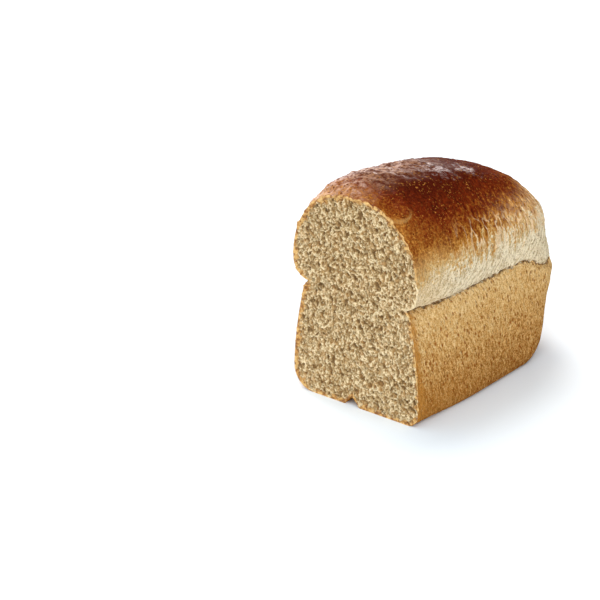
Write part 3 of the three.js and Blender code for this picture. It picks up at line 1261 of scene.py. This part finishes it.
    def torn(self, bench: CrustBench, colour: Any, brown: Shade) -> bpy.types.NodeSocket:
        """Lays torn fibres, straw by the cut and bran over the shred band.

        Args:
            bench: The crust's material.
            colour: Colour underneath.
            brown: Mask of the baked dome.

        Returns:
            Colour socket.
        """
        pale = 1.0 - brown
        fibres = (bench.noise(self.fibres) + bench.grit * self.fibre_grit).step(self.fibre_edge)
        colour = bench.blend(fibres * bench.rise.fade(self.fibre_end) * self.fibre_share, colour, self.husk)
        colour = bench.blend(bench.along.fade(self.straw_along) * pale * self.straw_share, colour, self.straw)
        return bench.blend(bench.grit.step(self.bran_grit) * pale * self.bran_share, colour, self.bran)


@dataclass(frozen=True)
class TinFinish:
    """Tin sides and base: pale gold at the rim, browner below, with dark pits and a golden cut edge."""

    brown: Colour = DomeFinish.bran
    tan: Colour = (0.62, 0.30, 0.085)
    pale: Colour = (0.81, 0.485, 0.18)
    gold: Colour = (0.92, 0.62, 0.295)
    tones: Stops = ((0.03, brown), (0.38, tan), (0.73, pale), (0.98, gold))
    golden: Colour = DomeFinish.golden
    chestnut: Colour = DomeFinish.chestnut
    hairs: Grain = Grain(1.5, stretch=(1.0, 1.0, 3.0), lean=18.0)
    rise_ends: Span = (0.8, 1.5)
    mottle_swing: float = 0.42
    hair_swing: float = 1.26
    grit_swing: float = 1.82
    pits: Grain = Grain(3.4, stretch=(1.0, 1.0, 1.8), lean=18.0)
    pit_edge: Span = (0.14, 0.32)
    pit_shares: Span = (0.75, 0.5)
    strip: Grain = Grain(6.0, 3.0)
    strip_wander: float = 0.02
    strip_lean: float = 0.003
    strip_along: Span = (0.0, 0.007)
    strip_share: float = 0.8
    scorch_end: Span = (-0.95, -0.55)
    scorch_along: Span = (0.01, 0.09)
    scorch_fine: Span = (0.3, 0.6)
    scorch_shares: Span = (0.15, 0.55)

    def colour(self, bench: CrustBench) -> bpy.types.NodeSocket:
        """Colours the tin sides and the base: the tone follows the rise, stirred by mottle, hairs and grit.

        Args:
            bench: The crust's material.

        Returns:
            Colour socket.
        """
        tone = bench.rise.scaled(self.rise_ends) + bench.mottle.swing(self.mottle_swing)
        tone = tone + bench.noise(self.hairs).swing(self.hair_swing) + bench.grit.swing(self.grit_swing)
        colour = bench.ramp(tone, self.tones)
        pits = bench.specks(self.pits, self.pit_edge) * bench.rise.scaled(self.pit_shares)
        colour = bench.blend(pits, colour, self.chestnut)
        strip = bench.along - bench.noise(self.strip).swing(self.strip_wander) + bench.rise * self.strip_lean
        colour = bench.blend(strip.fade(self.strip_along) * self.strip_share, colour, self.golden)
        scorched = bench.rise.fade(self.scorch_end) * bench.along.fade(self.scorch_along)
        share = bench.fine.step(self.scorch_fine).scaled(self.scorch_shares)
        return bench.blend(scorched * share, colour, self.golden)


@dataclass(frozen=True)
class CrustFinish:
    """Baked crust: the tin's colour below the break line, the dome's above it, painted shade along the break
    line, gloss, painted highlights on the crest, and relief.
    """

    half_length: float = 0.089
    dome: DomeFinish = DomeFinish()
    tin: TinFinish = TinFinish()
    edge_wander: float = 0.06
    tin_end: Span = (-0.012, 0.0)
    # Painted shade: a dark brown line along the break line, where the torn shred overhangs the tin wall.
    crevice: Colour = (0.22, 0.085, 0.012)
    crevice_shade_start: Span = (-0.016, -0.004)
    crevice_shade_end: Span = (0.006, 0.018)
    crevice_shade_breaks: Grain = Grain(5.0)
    crevice_shade_break_edge: Span = (0.4, 0.55)
    crevice_shade_whole_along: Span = (0.1, 0.13)
    crevice_shade_share: float = 0.85

    gloss_start: Span = (0.45, 0.75)
    roughness: float = 0.8
    gloss: float = 0.38
    roughness_swing: float = 0.3
    # Painted highlight: a pale colour laid into two glossy patches on the crest, where the glint lamp also
    # reflects in the coat.
    painted_highlight: Colour = (0.55, 0.36, 0.30)
    sheens: tuple[Place, Place] = ((0.011, -0.013, 0.149), (0.0124, 0.0124, 0.1425))
    second_sheen_inset: float = 0.003
    sheen_waves: Grain = Grain(6.0, 3.0)
    sheen_wander: float = 0.04
    sheen_edge: Span = (0.008, 0.013)
    sheen_fine: Span = (0.42, 0.56)
    painted_highlight_share: float = 0.2
    sheen_coat: float = 0.7
    sparkles: Grain = Grain(3.4)
    sparkle_edge: Span = (0.08, 0.2)
    sparkle_coat: float = 0.4
    left_side: Span = (-0.02, 0.02)
    left_start: Span = (0.35, 0.6)
    left_lumps: Span = (0.58, 0.88)
    left_coats: Span = (0.15, 1.0)
    dome_coat: float = 0.06
    coat_roughness: float = 0.34

    tin_relief_end: Span = (-0.02, 0.0)
    tin_ripples: Grain = Grain(2.2, stretch=(1.0, 1.0, 3.4), lean=18.0)
    shred_ripples: Grain = Grain(2.2, stretch=(1.0, 1.0, 2.6), lean=-30.0)
    ripple_height: float = 1.8
    blisters: Grain = Grain(4.5, 3.0)
    blister_height: float = 2.4
    fine_height: float = 1.1
    grit_heights: Span = (1.2, 0.4)
    bump_depth: float = 1.8

    def build(self) -> bpy.types.Material:
        """Makes the crust's material.

        Returns:
            The material.
        """
        bench = CrustBench(self.half_length)
        fine, glossy = bench.fine, bench.rise.step(self.gloss_start)
        edge = bench.rise + fine.swing(self.edge_wander)
        colour = bench.blend(edge.step(self.tin_end), self.tin.colour(bench), self.dome.colour(bench))
        # Painted shade along the break line: broken up by noise, and whole towards the far end.
        whole = bench.along.step(self.crevice_shade_whole_along)
        broken = bench.noise(self.crevice_shade_breaks).step(self.crevice_shade_break_edge).math("MAXIMUM", whole)
        crevice = edge.step(self.crevice_shade_start) * edge.fade(self.crevice_shade_end) * broken
        colour = bench.blend(crevice * self.crevice_shade_share, colour, self.crevice)
        # Two glossy patches on the crest, also painted paler as a highlight.
        wander = bench.noise(self.sheen_waves).swing(self.sheen_wander)
        first, second = (bench.distance(middle) + wander for middle in self.sheens)
        near = first.math("MINIMUM", second + self.second_sheen_inset)
        gloss_and_painted_highlight = near.fade(self.sheen_edge) * fine.step(self.sheen_fine)
        values = {
            "Base Color": bench.blend(gloss_and_painted_highlight * self.painted_highlight_share, colour, self.painted_highlight),
            "Roughness": self.roughness - glossy * self.gloss + fine.swing(self.roughness_swing),
            "Specular IOR Level": 0.0,
            "Coat Weight": self.coat(bench, gloss_and_painted_highlight, glossy),
            "Coat Roughness": self.coat_roughness,
        }
        bench.dress(values, self.hills(bench, glossy), self.bump_depth)
        return bench.material

    def coat(self, bench: CrustBench, gloss_and_painted_highlight: Shade, glossy: Shade) -> Shade:
        """Weight of the glaze: two glossy patches, which also carry a painted highlight, sparkling specks,
        the crest's left side and a trace all over.

        Args:
            bench: The crust's material.
            gloss_and_painted_highlight: Mask of the two glossy patches that are painted paler as a highlight.
            glossy: Mask of the dome.

        Returns:
            The weight.
        """
        sparkles = bench.specks(self.sparkles, self.sparkle_edge) * glossy * self.sparkle_coat
        left = bench.left_crest(self.left_side, self.left_start) * (1.0 - bench.dents)
        left = left * bench.lumps.step(self.left_lumps).scaled(self.left_coats)
        return gloss_and_painted_highlight * self.sheen_coat + sparkles + left + glossy * self.dome_coat

    def hills(self, bench: CrustBench, glossy: Shade) -> Shade:
        """Height of the finest relief: grit everywhere, blisters on the dome, ripples on the rest.

        Args:
            bench: The crust's material.
            glossy: Mask of the dome.

        Returns:
            The height.
        """
        on_tin = bench.rise.fade(self.tin_relief_end)
        ripples = bench.noise(self.shred_ripples) * (1.0 - on_tin) + bench.noise(self.tin_ripples) * on_tin
        hills = bench.fine * self.fine_height + bench.grit * glossy.scaled(self.grit_heights)
        hills = hills + bench.noise(self.blisters) * glossy * self.blister_height
        return hills + ripples * (1.0 - glossy) * self.ripple_height


@dataclass(frozen=True)
class CrumbFinish:
    """Wholemeal crumb: beige walls painted lighter as highlight, pores painted darker as shade, bran flecks
    and a browned rim.

    Spans named side or height are metres across and up, and the others are of the pattern's own value.
    """

    # Colours along pore depth: the proud walls lighter as painted highlight, the body the crumb's own colour,
    # and the hollows and deep pores darker as painted shade.
    wall: Colour = (0.90, 0.70, 0.415)
    body: Colour = (0.63, 0.43, 0.205)
    hollow_shade: Colour = (0.43, 0.26, 0.095)
    pore: Colour = (0.19, 0.095, 0.024)
    grey: Colour = (0.55, 0.46, 0.33)
    bran: Colour = (0.44, 0.20, 0.06)
    rim: Colour = (0.56, 0.27, 0.07)
    toast: Colour = (0.79, 0.48, 0.17)
    scorch: Colour = (0.30, 0.12, 0.03)
    tones: Stops = ((0.06, wall), (0.24, body), (0.55, hollow_shade), (0.92, pore))
    rim_tones: Stops = ((0.38, scorch), (0.48, rim), (0.6, toast))

    fine: Grain = Grain(1.5, 3.0, (1.0, 1.0, 1.4))
    fine_swing: float = 1.4
    grit: Grain = Grain(0.8)
    grit_swing: float = 1.1
    tints: Grain = Grain(3.2)
    brown_tint: Span = (0.5, 0.66)
    brown_share: float = 0.32
    grey_tint: Span = (0.36, 0.48)
    grey_share: float = 0.3
    # Bran flecks: the crumb's own colour.
    flecks_and_glints: Grain = Grain(4.6)
    fleck_and_glint_edge: Span = (0.08, 0.22)
    fleck_and_glint_share: float = 0.6

    left_side: Span = (-0.044, -0.036)
    top_height: Span = (0.10, 0.13)
    top_thickness: float = 0.8
    base_height: Span = (0.005, 0.02)
    base_thickness: float = 0.5
    pale_side: Span = (0.026, 0.036)
    pale_low: Span = (0.079, 0.086)
    pale_high: Span = (0.098, 0.112)
    pale_inset: float = 4.0
    rim_fine_swing: float = 5.0
    rim_waves: Grain = Grain(4.5)
    rim_wave_swing: float = 10.0
    rim_edge: Span = (0.9, 2.2)
    baking: Grain = Grain(2.6)
    roughness: float = 0.85
    pore_gloss: float = 0.1
    grit_height: float = 0.6

    def build(self) -> bpy.types.Material:
        """Makes the crumb's material.

        Returns:
            The material.
        """
        bench = Bench("crumb")
        pore = bench.value("pore")
        fine = bench.noise(self.fine)
        grit = bench.noise(self.grit)
        # Painted light: the colour darkens with pore depth as painted shade and lightens on the walls as
        # painted highlight, stirred by noise.
        depth = pore + fine.swing(self.fine_swing) + grit.swing(self.grit_swing)
        colour = bench.ramp(depth, self.tones)
        tint = bench.noise(self.tints)
        colour = bench.blend(tint.step(self.brown_tint) * self.brown_share, colour, self.rim)
        colour = bench.blend(tint.fade(self.grey_tint) * self.grey_share, colour, self.grey, "MULTIPLY")
        colour = bench.blend(bench.specks(self.flecks_and_glints, self.fleck_and_glint_edge) * self.fleck_and_glint_share, colour, self.bran)
        baked = bench.ramp(bench.noise(self.baking), self.rim_tones)
        colour = bench.blend(self.browned(bench, fine), colour, baked)
        values = {"Base Color": colour, "Roughness": self.roughness - pore * self.pore_gloss}
        bench.dress(values, fine + grit * self.grit_height)
        return bench.material

    def browned(self, bench: Bench, fine: Shade) -> Shade:
        """Mask of the browned rim: thicker at the left, top and base, and absent by the shred.

        Args:
            bench: The crumb's material.
            fine: Small noise that makes its edge ragged.

        Returns:
            The mask.
        """
        x, _, z = bench.axes()
        thick = x.fade(self.left_side) + z.step(self.top_height) * self.top_thickness
        thick = thick + z.fade(self.base_height) * self.base_thickness
        pale = x.step(self.pale_side) * z.step(self.pale_low) * z.fade(self.pale_high)
        inset = bench.value("rim") - thick + pale * self.pale_inset + fine.swing(self.rim_fine_swing)
        return (inset + bench.noise(self.rim_waves).swing(self.rim_wave_swing)).fade(self.rim_edge)


@dataclass(frozen=True)
class FloorFinish:
    """Plain pale floor with the faintest mottling."""

    pale: Colour = (0.905, 0.93, 0.95)
    mottle: Grain = Grain(300.0, 1.0)
    dimming: float = 0.985
    roughness: float = 0.9
    gloss: float = 0.1

    def build(self) -> bpy.types.Material:
        """Makes the floor's material.

        Returns:
            The material.
        """
        bench = Bench("floor")
        dimmed = tuple(part * self.dimming for part in self.pale)
        colour = bench.blend(bench.noise(self.mottle), self.pale, dimmed)
        bench.dress({"Base Color": colour, "Roughness": self.roughness, "Specular IOR Level": self.gloss})
        return bench.material


# ---------------------------------------------------------------- the loaf and its studio


@dataclass(frozen=True)
class Loaf:
    """The cut loaf as one piece."""

    form: LoafForm = LoafForm()
    crust_relief: CrustRelief = CrustRelief()
    crumb_relief: CrumbRelief = CrumbRelief()
    groove_centre: float = -3.0
    groove_half_width: float = 6.0
    groove_height: float = 7.0
    groove_length: float = 27.0
    groove_reach: float = 30.0
    groove_power: float = 0.8

    def groove_lift(self, points: Array) -> Array:
        """How far the torn groove under the cut edge lifts each point.

        It is a hollow shaped as a power of (1 - |x| / half width), that falls to nothing along the loaf. Its
        lift fades with height so that the cut face above it closes up.

        Args:
            points: Points, with the second coordinate measured from the cut.

        Returns:
            Millimetres to lift.
        """
        across = np.clip(1.0 - np.abs(points[:, 0] - self.groove_centre) / self.groove_half_width, 0.0, 1.0)
        along = np.clip(1.0 - points[:, 1] / self.groove_length, 0.0, 1.0)
        above = np.clip(1.0 - points[:, 2] / self.groove_reach, 0.0, 1.0)
        return self.groove_height * across**self.groove_power * along * above

    def shape(self) -> Skin:
        """Builds the skin, fits it to the CAD loaf's box and adds its relief.

        Returns:
            The finished skin, in millimetres.
        """
        skin = LoafSkin(self.form).build()
        low, high = (np.array(corner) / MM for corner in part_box("loaf"))
        own_low, own_high = skin.points.min(axis=0), skin.points.max(axis=0)
        skin.points = low + (skin.points - own_low) * (high - low) / (own_high - own_low)
        skin.points[:, 2] += self.groove_lift(skin.points - low * np.array([0.0, 1.0, 0.0]))
        self.crust_relief.apply(skin, skin.normals())
        self.crumb_relief.apply(skin)
        return skin

    def build(self) -> bpy.types.Object:
        """Makes the loaf's object, with its finishes, and sets it in place of the CAD loaf.

        Returns:
            The object.
        """
        skin = self.shape()
        mesh = bpy.data.meshes.new("tin_loaf")
        faces = skin.quads.tolist() + skin.triangles.tolist()
        mesh.from_pydata(skin.points * MM, [], faces)
        crumb = np.concatenate([skin.quad_is_crumb, skin.triangle_is_crumb])
        mesh.polygons.foreach_set("material_index", crumb.astype(np.int32))
        mesh.polygons.foreach_set("use_smooth", np.ones(len(faces), dtype=bool))
        for name, values in skin.values.items():
            layer = mesh.attributes.new(name, "FLOAT", "POINT")
            layer.data.foreach_set("value", values.astype(np.float32))
        mesh.materials.append(CrustFinish().build())
        mesh.materials.append(CrumbFinish().build())
        mesh.update()
        piece = bpy.data.objects.new("tin_loaf", mesh)
        bpy.context.scene.collection.objects.link(piece)
        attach(piece, "root")
        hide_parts("loaf")
        LOG.info("loaf: %d points, %d triangles", len(skin.points), 2 * len(skin.quads) + len(skin.triangles))
        return piece


class LampKind(Enum):
    """Kinds of light, by Blender's names."""

    SUN = "SUN"
    PANEL = "AREA"


@dataclass(frozen=True)
class Lamp:
    """A light. A sun's place is only its direction, and its spread is in degrees. A panel's is its side."""

    name: str
    kind: LampKind
    place: Place
    strength: float
    spread: float
    colour: Colour

    def hang(self, target: Place) -> None:
        """Makes the light and turns it towards the target.

        Args:
            target: The lit point. A sun's direction is measured from the origin instead.
        """
        light = bpy.data.lights.new(self.name, self.kind.value)
        light.energy = self.strength
        light.color = self.colour
        lamp = bpy.data.objects.new(self.name, light)
        aim = -Vector(self.place)
        if self.kind is LampKind.SUN:
            light.angle = math.radians(self.spread)
        else:
            light.size = self.spread
            lamp.location = self.place
            aim = Vector(target) + aim
        lamp.rotation_euler = aim.to_track_quat("-Z", "Y").to_euler()
        bpy.context.scene.collection.objects.link(lamp)


@dataclass(frozen=True)
class Studio:
    """Pale floor, soft lights and the camera. Places are in metres."""

    target: Place = (-0.1352, 0.0212, 0.0)
    camera_place: Place = (1.0428, -1.4545, 0.8725)
    lens: float = 172.8
    sensor: float = 36.0
    floor_size: float = 6.0
    lit_point: Place = (0.0, 0.0, 0.08)
    lamps: tuple[Lamp, ...] = (
        Lamp("key", LampKind.SUN, (-0.38, 0.2, 0.9), 1.22, 24.0, (1.0, 0.97, 0.93)),
        Lamp("fill", LampKind.SUN, (0.5, -0.5, 0.7), 0.9, 50.0, (0.92, 0.96, 1.0)),
        Lamp("glint", LampKind.PANEL, (-0.53, 0.95, 0.29), 0.9, 0.16, (1.0, 0.9, 0.88)),
        Lamp("rim", LampKind.PANEL, (-0.95, 0.80, 0.34), 3.0, 0.7, (1.0, 0.72, 0.62)),
    )
    sky: Colour = (0.86, 0.94, 1.0)
    dim_side: Place = (0.15, 0.87, 0.46)
    dim_edge: Span = (0.5, 0.75)
    bright: float = 1.22
    dim: float = 0.03

    def build(self) -> None:
        """Makes the floor, the lights, the world and the camera."""
        self.floor()
        for lamp in self.lamps:
            lamp.hang(self.lit_point)
        self.world()
        self.camera()
        bpy.context.scene.view_settings.view_transform = "Standard"
        LOG.info("studio: floor, %d lights, world and camera", len(self.lamps))

    def floor(self) -> None:
        """Lays the floor: a square in the plane z = 0."""
        half = self.floor_size / 2
        corners = np.array([[-half, -half, 0.0], [half, -half, 0.0], [half, half, 0.0], [-half, half, 0.0]])
        mesh = bpy.data.meshes.new("floor")
        mesh.from_pydata(corners, [], [(0, 1, 2, 3)])
        mesh.materials.append(FloorFinish().build())
        floor = bpy.data.objects.new("floor", mesh)
        bpy.context.scene.collection.objects.link(floor)

    def world(self) -> None:
        """Fills the room with white light: bright, and dim within a round patch about the dim side.

        Its strength steps smoothly along dim_edge, the dot product of a direction with that side.
        """
        world = bpy.data.worlds.new("studio")
        world.use_nodes = True
        tree = world.node_tree
        place = tree.nodes.new("ShaderNodeTexCoord")
        toward = tree.nodes.new("ShaderNodeVectorMath")
        toward.operation = "DOT_PRODUCT"
        toward.inputs[1].default_value = self.dim_side
        fall = tree.nodes.new("ShaderNodeMapRange")
        fall.interpolation_type = "SMOOTHSTEP"
        names = ("From Min", "From Max", "To Min", "To Max")
        for name, value in zip(names, (*self.dim_edge, self.bright, self.dim)):
            fall.inputs[name].default_value = value
        background = tree.nodes["Background"]
        background.inputs["Color"].default_value = (*self.sky, 1.0)
        tree.links.new(place.outputs["Generated"], toward.inputs[0])
        tree.links.new(toward.outputs["Value"], fall.inputs["Value"])
        tree.links.new(fall.outputs["Result"], background.inputs["Strength"])
        bpy.context.scene.world = world

    def camera(self) -> None:
        """Sets up the camera."""
        data = bpy.data.cameras.new("camera")
        data.lens = self.lens
        data.sensor_width = self.sensor
        camera = bpy.data.objects.new("camera", data)
        camera.location = self.camera_place
        aim = Vector(self.target) - Vector(self.camera_place)
        camera.rotation_euler = aim.to_track_quat("-Z", "Y").to_euler()
        bpy.context.scene.collection.objects.link(camera)
        bpy.context.scene.camera = camera


def main() -> None:
    """Builds the loaf and its studio."""
    logging.basicConfig(level=logging.INFO, format="%(name)s: %(message)s")
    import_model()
    Studio().build()
    Loaf().build()
    bpy.context.view_layer.update()


if __name__ == "__main__":
    main()
